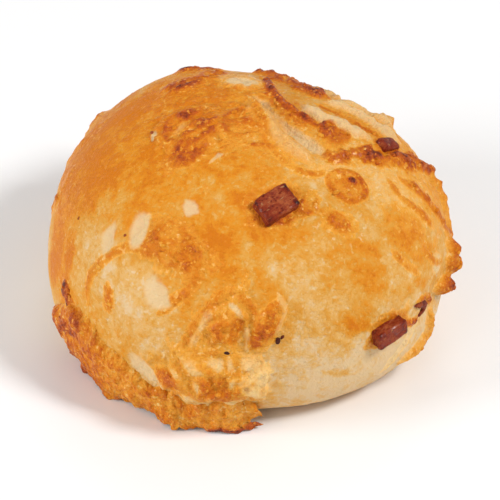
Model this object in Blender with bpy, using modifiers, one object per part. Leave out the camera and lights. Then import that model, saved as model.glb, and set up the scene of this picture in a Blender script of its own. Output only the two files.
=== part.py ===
"""Cheese and bacon bread roll: a domed roll with grated cheese baked onto it and diced bacon set into it.

The roll stands on its flat base at z = 0, with the origin at the middle of that base.
A place on the crust is a compass angle round the roll (0 is +X, 90 is +Y) and a polar angle down from
the crown, both in degrees and seen from the core, the point on the axis level with the widest ring.
"""

import math
import random

import bmesh
import bpy
from mathutils import Matrix, Vector

MM = 0.001

# The dough. Both halves of its outline are superellipses that meet at the widest ring.
ROLL_RADIUS = 45.2 * MM
WAIST_HEIGHT = 18.7 * MM
DOME_RISE = 37.1 * MM
DOME_FULLNESS = 2.2
BELLY_DROP = 22.4 * MM
BELLY_FULLNESS = 3.1
CROWN_LEAN = Vector((4.1 * MM, 2.0 * MM, 0.0))
OVAL = (0.02, -0.056)
THREE_LOBED = (0.037, -0.011)
SWELL = 0.06 * MM
SWELL_WAVES = 6

# Places where the roll is fuller or flatter: (compass, polar), reach in degrees, rise in millimetres.
SWELLINGS = {
    "cheese on the shoulder": ((20, 58), 34, 1.3),
    "blistered crown edge": ((124, 44), 14, 1.2),
    "hollow under the rim": ((-22, 90), 9, -1.8),
    "tucked front foot": ((-85, 110), 22, -1.3),
}

CRUST_DETAIL = 5
FRAME_STEP = 0.01

# Grated cheese: how far a melted shred or puddle stands up, and how deep it is rooted in the dough.
SHRED_SECTIONS = 9
SHRED_RISE = 1.2 * MM
SHRED_END = 0.25
PUDDLE_ROOT = 2.2 * MM

# Cheese that ran down to the baking tray and set there, as an apron round the foot of the roll.
FOOT_RADIUS = 41.9 * MM
FOOT_CLEARANCE = 0.4 * MM
APRON_DEPTH = 7.0 * MM
APRON_RISE = 0.9 * MM
APRON_COLUMNS = 26
APRON_ROWS = 7
FLARE_START = 0.4

# Diced bacon, each dice in a pocket a little larger than itself.
POCKET_GAP = 0.3 * MM
DICE_BEVEL = 0.45 * MM

# Shreds: the way each one lies, as (compass, polar) places, then its width in millimetres.
SHREDS = {
    "dark edge": ([(76, 33), (51, 21), (26, 20), (8, 20), (4, 27)], 4.4),
    "front ridge": ([(56, 9), (-20, 9), (-38, 16), (-42, 23), (-36, 28)], 4.6),
    "shoulder strand": ([(-22, 28), (-11, 36), (-5, 48), (10, 66)], 3.8),
    "pale strand": ([(22, 26), (13, 31), (3, 37), (0, 44)], 3.2),
    "outer pale strand": ([(32, 40), (24, 44), (14, 48)], 3.2),
    "crest": ([(78, 49), (63, 43), (52, 45), (47, 52)], 5.0),
    "right rim strand": ([(-4, 57), (-6, 64), (-4, 75)], 3.0),
    "rim edge": ([(8, 62), (3, 72), (-4, 84)], 4.0),
    "left loop": ([(-145, 78), (-144, 69), (-140, 62), (-130, 58)], 2.4),
    "loop tail": ([(-108, 61), (-111, 68), (-118, 73)], 2.6),
    "low strand": ([(-137, 71), (-136, 77), (-134, 83)], 2.6),
    "hanging tongue": ([(-25, 86), (-26, 93), (-31, 99), (-38, 103)], 4.4),
}

# Puddles: (compass, polar), turn in degrees, length and width and rise in millimetres.
PUDDLES = {
    "left blister": ((173, 22), 10, 15, 11, 1.1),
    "lower blister": ((-154, 23), 20, 9.5, 6, 0.9),
    "crown blister": ((150, 4), 60, 14, 10, 1.1),
    "back red crust": ((126, 42), 0, 13, 8, 1.1),
    "back pale crust": ((95, 29), 60, 9, 7, 0.8),
    "oval drop": ((-33, 38), 60, 8.2, 7, 1.1),
    "low drop": ((-48, 46), 20, 6.5, 4.6, 0.9),
    "drop by the dice": ((-57, 39), 120, 5.5, 3.8, 0.8),
    "loop crust": ((-117, 54), 80, 15, 9, 1.1),
    "long leaf": ((-98, 73), -27, 17, 9, 1.5),
    "short leaf": ((-82, 72), -27, 12, 5.5, 1.5),
    "pale lump": ((-98, 91), 90, 22, 9.5, 2.0),
    "horizon drop": ((27, 56), 0, 6, 5, 1.3),
    "rim crust": ((-8, 84), 10, 11, 7, 2.0),
    "rim corner": ((-14, 89), 60, 7, 5, 1.8),
}

# Aprons: first and last compass angle, and the polar angle of the top edge at each.
APRONS = {"front apron": (-168, -84, (82, 103)), "back apron": (62, 122, (96, 100))}

# Shreds on the far side, laid at random between these limits.
FAR_SHREDS = 11
FAR_COMPASS = (50, 160)
FAR_POLAR = (60, 84)
FAR_LENGTH = (20, 44)
FAR_WIDTH = (3.2, 5.2)
FAR_LIMITS = (44, 98)
FAR_SEED = 8
DICE_CLEARANCE = math.radians(12)

# Dice: (compass, polar), turn in degrees, then length, width and height in millimetres, and the share
# of the height that is buried. The first three are on the side with most cheese, the rest on the far side.
DICE = [
    ((-75.5, 37), 112, (8.9, 6.6, 5.2), 0.52),
    ((-44, 84.5), 102, (8.7, 4.4, 4.8), 0.46),
    ((2, 45), 38, (5.5, 3.4, 4.2), 0.52),
    ((108, 68), 25, (9.0, 7.0, 5.4), 0.50),
    ((131, 80), 100, (8.4, 6.4, 5.0), 0.45),
    ((60, 78), 140, (7.4, 6.0, 5.0), 0.45),
]


def swell_waves():
    """The slow swelling of the dough: (wave vector, phase) pairs."""
    rng = random.Random(3)
    waves = []
    for _ in range(SWELL_WAVES):
        turn = rng.uniform(0.0, math.tau)
        slope = rng.uniform(-0.8, 0.8)
        rate = rng.uniform(3.0, 6.5)
        flat = math.sqrt(1.0 - slope * slope)
        waves.append((Vector((flat * math.cos(turn), flat * math.sin(turn), slope)) * rate, turn * 2.0))
    return waves


WAVES = swell_waves()


def heading(compass, polar):
    """The unit vector from the core to a place given in degrees."""
    around, down = math.radians(compass), math.radians(polar)
    return Vector((math.sin(down) * math.cos(around), math.sin(down) * math.sin(around), math.cos(down)))


def sideways(way):
    """The unit vector that runs anticlockwise round the roll at way."""
    return Vector((-way.y, way.x, 0.0)).normalized() if abs(way.z) < 1.0 else Vector((0.0, 1.0, 0.0))


def crust_point(way):
    """Where the line from the core along the unit vector way leaves the dough."""
    upper = way.z >= 0.0
    fullness = DOME_FULLNESS if upper else BELLY_FULLNESS
    reach = DOME_RISE if upper else BELLY_DROP
    flat = math.hypot(way.x, way.y)
    distance = (abs(flat / ROLL_RADIUS) ** fullness + abs(way.z / reach) ** fullness) ** (-1.0 / fullness)
    distance += SWELL * sum(math.sin(way.dot(wave) + phase) for wave, phase in WAVES)
    for place, reach, rise in SWELLINGS.values():
        distance += rise * MM * math.exp(-((way.angle(heading(*place)) / math.radians(reach)) ** 2))
    around = math.atan2(way.y, way.x)
    width = 1.0 + OVAL[0] * math.cos(2 * around) + OVAL[1] * math.sin(2 * around)
    width += THREE_LOBED[0] * math.cos(3 * around) + THREE_LOBED[1] * math.sin(3 * around)
    height = max(WAIST_HEIGHT + distance * way.z, 0.0)
    lean = CROWN_LEAN * (height / (WAIST_HEIGHT + DOME_RISE))
    return Vector((way.x * distance * width, way.y * distance * width, height)) + lean


def crust_frame(way):
    """The dough's surface at way: its point, the outward normal, the downhill and the sideways directions."""
    aside = sideways(way)
    downhill = aside.cross(way) * FRAME_STEP
    aside *= FRAME_STEP
    along = crust_point((way + downhill).normalized()) - crust_point((way - downhill).normalized())
    across = crust_point((way + aside).normalized()) - crust_point((way - aside).normalized())
    normal = along.cross(across).normalized()
    down = (along - normal * along.dot(normal)).normalized()
    return crust_point(way), normal, down, normal.cross(down)


def new_object(name, mesh, collection):
    obj = bpy.data.objects.new(name, mesh)
    collection.objects.link(obj)
    return obj


def collection_of(name):
    found = bpy.data.collections.new(name)
    bpy.context.scene.collection.children.link(found)
    return found


def material(name, colour, roughness):
    made = bpy.data.materials.new(name)
    made.use_nodes = True
    shader = made.node_tree.nodes["Principled BSDF"]
    shader.inputs["Base Color"].default_value = (*colour, 1.0)
    shader.inputs["Roughness"].default_value = roughness
    shader.inputs["Metallic"].default_value = 0.0
    return made


def evaluated_mesh(obj, name):
    """The object's shape with its modifiers, as a new welded mesh in world space."""
    bpy.context.view_layer.update()
    mesh = bpy.data.meshes.new_from_object(obj.evaluated_get(bpy.context.evaluated_depsgraph_get()))
    mesh.name = name
    mesh.transform(obj.matrix_world)
    shape = bmesh.new()
    shape.from_mesh(mesh)
    bmesh.ops.remove_doubles(shape, verts=shape.verts, dist=0.01 * MM)
    bmesh.ops.recalc_face_normals(shape, faces=shape.faces)
    shape.to_mesh(mesh)
    shape.free()
    return mesh


def ball(name, detail, collection):
    """A unit icosphere as an object."""
    mesh = bpy.data.meshes.new(name)
    shape = bmesh.new()
    bmesh.ops.create_icosphere(shape, subdivisions=detail, radius=1.0)
    shape.to_mesh(mesh)
    shape.free()
    return new_object(name, mesh, collection)


def dough(collection):
    """The bare roll: an icosphere whose points move out to the crust."""
    roll = ball("bread_roll", CRUST_DETAIL, collection)
    for vertex in roll.data.vertices:
        vertex.co = crust_point(vertex.co.normalized())
    return roll


def path_ways(places, count):
    """Unit vectors along a smooth line through places, a Catmull-Rom curve in the space of directions."""
    knots = [heading(*place) for place in places]
    knots = [knots[0] * 2 - knots[1], *knots, knots[-1] * 2 - knots[-2]]
    spans = len(knots) - 3
    ways = []
    for i in range(count):
        reach = spans * i / (count - 1)
        span = min(int(reach), spans - 1)
        t = reach - span
        a, b, c, d = knots[span : span + 4]
        point = b * 2 + (c - a) * t + (a * 2 - b * 5 + c * 4 - d) * t * t + (b * 3 - a - c * 3 + d) * t**3
        ways.append(point.normalized())
    return ways


def shred(name, places, width, collection):
    """One melted shred: a round curve half sunk in the crust, thinner at its ends."""
    rise = SHRED_RISE
    radius = ((width / 2) ** 2 + rise**2) / (2 * rise)
    curve = bpy.data.curves.new(name, "CURVE")
    curve.dimensions = "3D"
    curve.bevel_depth = radius
    curve.bevel_resolution = 2
    curve.use_fill_caps = True
    spline = curve.splines.new("POLY")
    spline.points.add(SHRED_SECTIONS - 1)
    for i, way in enumerate(path_ways(places, SHRED_SECTIONS)):
        point, normal, _, _ = crust_frame(way)
        swell = math.sin(math.pi * (i + 0.6) / (SHRED_SECTIONS + 0.2)) ** 0.5
        thickness = SHRED_END + (1.0 - SHRED_END) * swell
        centre = point + normal * (rise - radius) * thickness
        spline.points[i].co = (*centre, 1.0)
        spline.points[i].radius = thickness
    drawn = new_object(name, curve, collection)
    new_object(name + " solid", evaluated_mesh(drawn, name), collection)
    bpy.data.objects.remove(drawn)


def puddle(name, place, turn, length, width, rise, collection):
    """Melted cheese that spread out: a flat pebble draped over the crust, with an uneven rim."""
    way = heading(*place)
    reach = (crust_point(way) - Vector((0.0, 0.0, WAIST_HEIGHT))).length
    aside = sideways(way)
    long_way = aside.cross(way) * math.cos(math.radians(turn)) + aside * math.sin(math.radians(turn))
    short_way = long_way.cross(way)
    pebble = ball(name, 3 if length > 9 * MM else 2, collection)
    for vertex in pebble.data.vertices:
        x, y, z = vertex.co
        around = math.atan2(y, x)
        rim = 1.0 + 0.12 * math.sin(3 * around + turn) + 0.07 * math.sin(5 * around - turn)
        spot = way * reach + long_way * (x * rim * length / 2) + short_way * (y * rim * width / 2)
        landing, normal, _, _ = crust_frame(spot.normalized())
        vertex.co = landing + normal * z * (rise if z > 0 else PUDDLE_ROOT)
    new_object(name + " solid", evaluated_mesh(pebble, name), collection)
    bpy.data.objects.remove(pebble)


def side_polar(height):
    """The polar angle at which the belly, below its widest ring, has a given height."""
    share = min(max((WAIST_HEIGHT - height) / BELLY_DROP, 0.0), 1.0)
    reach = ROLL_RADIUS * (1 - share**BELLY_FULLNESS) ** (1 / BELLY_FULLNESS)
    return math.degrees(math.atan2(reach, height - WAIST_HEIGHT))


def apron(name, first, last, tops, collection):
    """Cheese set against the foot: an open sheet from the belly down to the tray, given depth by Solidify."""
    mesh = bpy.data.meshes.new(name)
    shape = bmesh.new()
    bmesh.ops.create_grid(shape, x_segments=APRON_COLUMNS, y_segments=APRON_ROWS, size=1.0)
    for vertex in shape.verts:
        share, fall = (vertex.co.x + 1) / 2, (1 - vertex.co.y) / 2
        compass = first + (last - first) * share
        body = math.sin(math.pi * min(max(share, 0.0), 1.0)) ** 0.4
        ragged = 1.0 + 0.10 * math.sin(compass * 0.31) + 0.08 * math.sin(compass * 0.83)
        top = crust_point(heading(compass, tops[0] + (tops[1] - tops[0]) * share)).z
        height = top + (FOOT_CLEARANCE - top) * fall
        skin, normal, _, _ = crust_frame(heading(compass, side_polar(height)))
        point = skin + normal * APRON_RISE * body * ragged * min(1.0, 4 * fall)
        around = Vector((point.x, point.y, 0.0))
        spread = FOOT_RADIUS * (1 + 0.02 * math.sin(compass * 0.57) + 0.012 * math.sin(compass * 1.9))
        flare = body * max(fall - FLARE_START, 0.0) / (1 - FLARE_START)
        reach = around.length + max(spread - around.length, 0.0) * flare**0.7
        vertex.co = around.normalized() * reach + Vector((0, 0, height))
    shape.to_mesh(mesh)
    shape.free()
    sheet = new_object(name, mesh, collection)
    depth = sheet.modifiers.new("Depth", "SOLIDIFY")
    depth.thickness = APRON_DEPTH
    depth.offset = -1.0
    solid = new_object(name + " solid", evaluated_mesh(sheet, name), collection)
    bpy.data.objects.remove(sheet)
    for vertex in solid.data.vertices:
        vertex.co.z = max(vertex.co.z, FOOT_CLEARANCE)


def far_shreds():
    """Shreds for the side that is turned away, none of them across a dice."""
    rng = random.Random(FAR_SEED)
    found = {}
    while len(found) < FAR_SHREDS:
        compass, polar = rng.uniform(*FAR_COMPASS), rng.uniform(*FAR_POLAR)
        turn, length = rng.uniform(-1.2, 1.2), rng.uniform(*FAR_LENGTH)
        bend, width = rng.uniform(-6, 6), rng.uniform(*FAR_WIDTH)
        half = length / 2
        spread = max(math.sin(math.radians(polar)), 0.4)
        step = (half * math.sin(turn) / spread, half * math.cos(turn))
        places = [
            (compass - step[0], polar - step[1]),
            (compass + bend / spread, polar),
            (compass + step[0], polar + step[1]),
        ]
        if all(FAR_LIMITS[0] < place[1] < FAR_LIMITS[1] for place in places) and clear_of_dice(places):
            found[f"far shred {len(found)}"] = (places, width)
    return found


def clear_of_dice(places):
    """True if a shred through places keeps out of the dice."""
    ways = path_ways(places, SHRED_SECTIONS)
    return all(way.angle(heading(*spot)) > DICE_CLEARANCE for way in ways for spot, *_ in DICE)


def dice_matrix(place, turn, size, buried):
    """Where one dice sits: its length along the turned downhill line, its height along the crust's normal."""
    point, normal, down, aside = crust_frame(heading(*place))
    length_way = down * math.cos(math.radians(turn)) + aside * math.sin(math.radians(turn))
    axes = Matrix((length_way, normal.cross(length_way), normal)).transposed().to_4x4()
    lift = size[2] * MM * (0.5 - buried)
    return Matrix.Translation(point + normal * lift) @ axes


def dice_mesh(name, size, gap, uneven):
    """A box a little out of square, as a knife leaves it."""
    mesh = bpy.data.meshes.new(name)
    shape = bmesh.new()
    bmesh.ops.create_cube(shape, size=1.0)
    for vertex in shape.verts:
        slant = Vector((vertex.co.z * uneven, vertex.co.x * uneven, -vertex.co.y * uneven)) * 0.5
        full = Vector(side * MM + 2 * gap for side in size)
        vertex.co = Vector(a * b for a, b in zip(vertex.co + slant * 0.35, full))
    shape.to_mesh(mesh)
    shape.free()
    return mesh


def build():
    for obj in list(bpy.data.objects):
        bpy.data.objects.remove(obj)
    parts = collection_of("cheese and bacon roll")
    cutters = collection_of("pockets")
    toppings = collection_of("cheese to fuse")

    crust = material("baked dough with cheese", (0.78, 0.40, 0.10), 0.5)
    bacon = material("diced bacon", (0.31, 0.055, 0.02), 0.45)

    roll = dough(parts)
    for name, (places, width) in {**SHREDS, **far_shreds()}.items():
        shred(name, places, width * MM, toppings)
    for name, (place, turn, length, width, rise) in PUDDLES.items():
        puddle(name, place, turn, length * MM, width * MM, rise * MM, toppings)
    for name, (first, last, tops) in APRONS.items():
        apron(name, first, last, tops, toppings)

    join = roll.modifiers.new("Fuse", "BOOLEAN")
    join.operation = "UNION"
    join.operand_type = "COLLECTION"
    join.collection = toppings
    join.solver = "MANIFOLD"
    fused = evaluated_mesh(roll, "bread_roll")
    roll.modifiers.clear()
    roll.data = fused
    for obj in list(toppings.objects):
        bpy.data.objects.remove(obj)
    bpy.data.collections.remove(toppings)
    roll.data.materials.append(crust)

    for number, (place, turn, size, buried) in enumerate(DICE, 1):
        uneven = 0.25 if number % 2 else -0.2
        where = dice_matrix(place, turn, size, buried)
        dice = new_object(f"bacon_dice_{number}", dice_mesh("bacon", size, 0.0, uneven), parts)
        dice.matrix_world = where
        dice.data.materials.append(bacon)
        edges = dice.modifiers.new("Worn edges", "BEVEL")
        edges.width = DICE_BEVEL
        edges.segments = 1
        pocket = new_object(f"pocket_{number}", dice_mesh("pocket", size, POCKET_GAP, uneven), cutters)
        pocket.matrix_world = where
        pocket.hide_render = True
        pocket.display_type = "WIRE"
        cut = roll.modifiers.new(f"Pocket {number}", "BOOLEAN")
        cut.operation = "DIFFERENCE"
        cut.object = pocket
        cut.solver = "MANIFOLD"


build()
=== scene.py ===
"""The looks of a cheese and bacon bread roll: baked dough, melted cheese that browned, and diced bacon."""
import math

import bmesh
import bpy
import numpy as np
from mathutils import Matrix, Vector, kdtree


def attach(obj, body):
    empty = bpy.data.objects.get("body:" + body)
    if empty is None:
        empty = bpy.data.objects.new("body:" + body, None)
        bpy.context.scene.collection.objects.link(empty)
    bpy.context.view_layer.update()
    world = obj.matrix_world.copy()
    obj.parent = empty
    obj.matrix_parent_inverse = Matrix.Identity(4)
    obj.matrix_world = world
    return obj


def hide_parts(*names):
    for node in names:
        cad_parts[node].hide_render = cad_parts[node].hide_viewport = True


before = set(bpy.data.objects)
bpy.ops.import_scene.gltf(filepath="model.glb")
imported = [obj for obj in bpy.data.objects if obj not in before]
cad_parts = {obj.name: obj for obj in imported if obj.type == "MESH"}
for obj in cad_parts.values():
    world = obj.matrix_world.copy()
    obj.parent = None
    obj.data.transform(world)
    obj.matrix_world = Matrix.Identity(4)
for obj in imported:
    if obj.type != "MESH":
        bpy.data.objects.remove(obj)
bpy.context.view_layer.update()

MM = 0.001

# ---------------------------------------------------------------- sizes of the roll, in millimetres

ROLL_RADIUS = 45.2
ROLL_GIRTH = 45
WAIST_HEIGHT = 18.7
DOME_RISE = 37.1
DOME_FULLNESS = 2.2
BELLY_DROP = 22.4
BELLY_FULLNESS = 3.1
CROWN_LEAN = (4.1, 2.0)
OVAL = (0.02, -0.056)
THREE_LOBED = (0.037, -0.011)
CRUST_SIDE = 127
FINER_TOWARDS = (0.0, -0.18, 0.27)

# How far apart the lumps of the fine, the middling and the broad unevenness of the bake are, and how high
# they stand: on bare dough, and what browning adds. Streaks of melted cheese have a relief of their own.
FINE, MIDDLING, BROAD = 1.5, 3.4, 9.0
FINE_RELIEF = (0.06, 0.26)
MIDDLING_RELIEF = (0.10, 0.16)
BROAD_RELIEF = 0.16
STREAK_RELIEF = 0.3
STREAKS_APART = 1.5

# Places on the crust are (compass, polar) in degrees: compass 0 is +X and 90 is +Y, polar 0 is the crown.
# Fuller or flatter places: (place, reach in degrees, rise).
SWELLINGS = [((20, 58), 34, 1.3), ((124, 44), 14, 1.2), ((-22, 90), 9, -1.8), ((-85, 110), 22, -1.3)]

# ---------------------------------------------------------------- what lies on the crust
# A strand is a melted shred of cheese: its path, width and rise, and how it is finished. toast is how dark
# it browned, or how far it hides the browning under it if below 0, pale how milky it stayed, and ragged how
# uneven its sides are. cheese, in a patch, is how far the cheese covers the dough.

STRANDS = {
    # Darker toast beside the dark edge, on the valley side: painted shade.
    "painted shade beside the dark edge": dict(
        path=[(80, 31), (66, 22), (46, 16), (20, 15), (2, 19)],
        width=3.2, rise=0.3, toast=0.46,
    ),
    # The dark edge is browned cheese; its darkest line is also painted shadow under the pale layer over it.
    "dark edge": dict(
        path=[(80, 38), (74, 28), (51, 20), (26, 19), (2, 23)],
        width=2.4, rise=1.2, toast=0.76, ragged=0.5,
    ),
    "valley": dict(
        path=[(84, 18), (68, 13), (8, 10), (-12, 15), (-21, 21), (-25, 27)],
        width=3.2, rise=-1.0, toast=-0.8, pale=0.66,
    ),
    "front ridge": dict(
        path=[(94, 13), (56, 8), (-22, 9), (-36, 17), (-37, 25)],
        width=4.0, rise=1.9, toast=-0.7, pale=0.40,
    ),
    # The ridge's browned rim, darker on its lower side with painted shadow under the raised ridge.
    "front ridge edge": dict(
        path=[(94, 17), (50, 5), (-52, 9), (-56, 17), (-50, 26), (-40, 30), (-34, 30)],
        width=1.8, rise=0.0, toast=0.31, ragged=0.6,
    ),
    "crown rim": dict(path=[(-128, 20), (-130, 14), (-96, 10), (-56, 13)], width=1.1, rise=0.2, toast=0.36),
    "red spot": dict(path=[(-25, 27), (-20, 30), (-15, 33)], width=4.0, rise=0.8, toast=0.56),
    "shoulder band": dict(
        path=[(-13, 34), (-9, 42), (-2, 50), (4, 58), (10, 67)],
        width=4.2, rise=1.1, toast=0.68,
    ),
    # The pale strands are milky cheese, their cream along the crest also a painted highlight.
    "pale strand": dict(
        path=[(36, 25), (20, 26), (9, 31), (2, 39)],
        width=3.2, rise=1.3, toast=-0.7, pale=0.68,
    ),
    # A sunk crease, darker: browned strand edges, and painted shade in the groove.
    "pale strand crease": dict(
        path=[(38, 31), (24, 33), (11, 38), (5, 45)],
        width=1.3, rise=-0.4, toast=0.44,
    ),
    # Milky cheese again, its cream along the crest also a painted highlight.
    "second pale strand": dict(
        path=[(37, 36), (28, 40), (15, 45), (9, 51)],
        width=3.2, rise=1.3, toast=-0.7, pale=0.64,
    ),
    # Another sunk crease: browned edges, and painted shade in the groove.
    "outer crease": dict(path=[(40, 42), (29, 45), (18, 50)], width=1.3, rise=-0.4, toast=0.44),
    "outer pale strand": dict(path=[(42, 46), (30, 50), (20, 55)], width=3.0, rise=1.1, toast=-0.5, pale=0.5),
    "crest": dict(path=[(84, 46), (66, 43), (54, 40), (43, 41)], width=6.0, rise=1.3, toast=0.62),
    "crest rim": dict(path=[(60, 50), (51, 51), (44, 49)], width=2.4, rise=1.3, toast=-0.6, pale=0.5),
    "back layer": dict(path=[(88, 50), (76, 49), (66, 50)], width=4.0, rise=0.9, toast=0.55),
    "oval drop rim": dict(
        path=[(-36, 32), (-29, 34), (-26, 38), (-29, 43), (-34, 44),
              (-39, 43), (-42, 38), (-40, 34), (-36, 32)],
        width=1.5, rise=0.5, toast=0.43, ragged=0.5,
    ),
    "right rim strand": dict(
        path=[(-12, 50), (-10, 58), (-9, 65), (-7, 73), (-2, 82)],
        width=2.2, rise=0.7, toast=0.48, ragged=0.5,
    ),
    "second rim strand": dict(
        path=[(-17, 47), (-19, 53), (-17, 60), (-15, 68)],
        width=1.8, rise=0.5, toast=0.38, ragged=0.5,
    ),
    "third rim strand": dict(
        path=[(-24, 70), (-20, 76), (-15, 80)],
        width=1.6, rise=0.3, toast=0.34, ragged=0.5,
    ),
    "rim edge": dict(path=[(8, 62), (3, 72), (-4, 84)], width=4.0, rise=1.4, toast=0.3),
    "streak": dict(path=[(-36, 62), (-33, 68), (-29, 74)], width=1.6, rise=0.3, toast=0.36),
    "left loop": dict(
        path=[(-124, 54), (-131, 57), (-138, 60), (-143, 66), (-146, 74), (-144, 82)],
        width=2.0, rise=0.3, toast=0.37, ragged=0.4,
    ),
    "loop tail": dict(
        path=[(-108, 57), (-108, 61), (-110, 65), (-114, 69), (-117, 73)],
        width=2.2, rise=0.4, toast=0.40, ragged=0.5,
    ),
    "low strand": dict(
        path=[(-138, 72), (-136, 76), (-134, 79)],
        width=2.6, rise=0.3, toast=0.36, ragged=0.6,
    ),
    "left strand": dict(path=[(-160, 84), (-152, 88), (-144, 92)], width=3.4, rise=0.8, toast=0.66),
    "hanging tongue": dict(
        path=[(-20, 94), (-20, 98), (-21, 103), (-26, 102), (-32, 102), (-36, 102)],
        width=3.2, rise=1.5, toast=0.24,
    ),
    "behind the tongue": dict(
        path=[(-28, 89), (-33, 92), (-38, 96), (-43, 101)],
        width=2.0, rise=-0.5, toast=-0.8, pale=0.7,
    ),
    "link to the dice": dict(path=[(-40, 85), (-36, 87), (-30, 90)], width=2.0, rise=0.5, toast=0.58),
    "over the shred": dict(
        path=[(-32, 82), (-27, 83), (-22, 88), (-20, 92)],
        width=1.4, rise=0.8, toast=0.52,
    ),
    "yellow line": dict(path=[(-124, 17), (-128, 20), (-129, 23)], width=0.7, rise=0.1, pale=0.6),
    "leaf left edge": dict(
        path=[(-96, 62), (-101, 68), (-105, 74), (-108, 82)],
        width=1.8, rise=0.4, toast=0.36, ragged=0.4,
    ),
    "leaf left bubbles": dict(
        path=[(-100, 68), (-103, 74), (-105, 80)],
        width=1.6, rise=1.0, toast=-0.3, pale=0.36, ragged=1.8,
    ),
    "leaf right edge": dict(
        path=[(-96, 62), (-91, 64), (-87, 68), (-86, 74)],
        width=1.6, rise=0.5, toast=0.36, ragged=0.4,
    ),
    "leaf rib": dict(path=[(-95, 66), (-92, 68), (-90, 71)], width=1.1, rise=0.9, toast=-0.5, pale=0.7),
    "leaf side rib": dict(path=[(-89, 73), (-88, 77), (-88, 81)], width=1.2, rise=0.7, toast=-0.4, pale=0.5),
    # The leaf pocket is a dip beside the leaf; its darker toast is painted shade in the hollow.
    "painted shade in the leaf pocket": dict(path=[(-91, 70), (-92, 74), (-93, 79)], width=2.8, rise=-1.1, toast=0.40, ragged=0.2),
    "short leaf edge": dict(
        path=[(-79, 64), (-77, 69), (-80, 76)],
        width=1.0, rise=0.6, toast=-0.2, pale=0.38, ragged=1.4,
    ),
    "short leaf core": dict(
        path=[(-83, 71), (-85, 76), (-87, 80)],
        width=2.8, rise=0.0, toast=0.54, ragged=0.5,
    ),
    "lump low edge": dict(
        path=[(-107, 98), (-103, 101), (-97, 103), (-91, 99), (-86, 96)],
        width=1.5, rise=1.2, toast=-0.5, pale=0.34, ragged=2.0,
    ),
    "far strand 1": dict(path=[(100, 62), (92, 70), (88, 82)], width=4.2, rise=1.2, toast=0.3),
    "far strand 2": dict(path=[(126, 66), (122, 76), (128, 85)], width=3.6, rise=0.9, toast=0.45),
    "far strand 3": dict(path=[(150, 56), (156, 66), (154, 78)], width=3.8, rise=0.4, toast=0.2),
    "far strand 4": dict(path=[(84, 60), (72, 64), (62, 62)], width=4.4, rise=1.2, toast=0.4),
    "far strand 5": dict(path=[(44, 66), (48, 76), (42, 88)], width=4.0, rise=1.2, toast=0.35),
    "far strand 6": dict(path=[(30, 72), (24, 80), (26, 90)], width=3.4, rise=1.2, toast=0.2),
    "far strand 7": dict(path=[(76, 80), (70, 88), (72, 96)], width=3.6, rise=1.2, toast=0.4),
    "far strand 8": dict(path=[(168, 66), (172, 76), (166, 86)], width=3.0, rise=0.4, toast=0.3),
}

# A patch is cheese that spread out: its middle, the turn of its long axis from downhill, its size and rise.
# rim is how much darker its edge browned, soft how slowly it fades out, hollow how far its middle sank, rough
# how uneven it is, shreds how thickly half-melted shreds lie in it, and streaks how strongly light ridges and
# dark grooves run down it. Where it is calm, no blisters rise.

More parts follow.
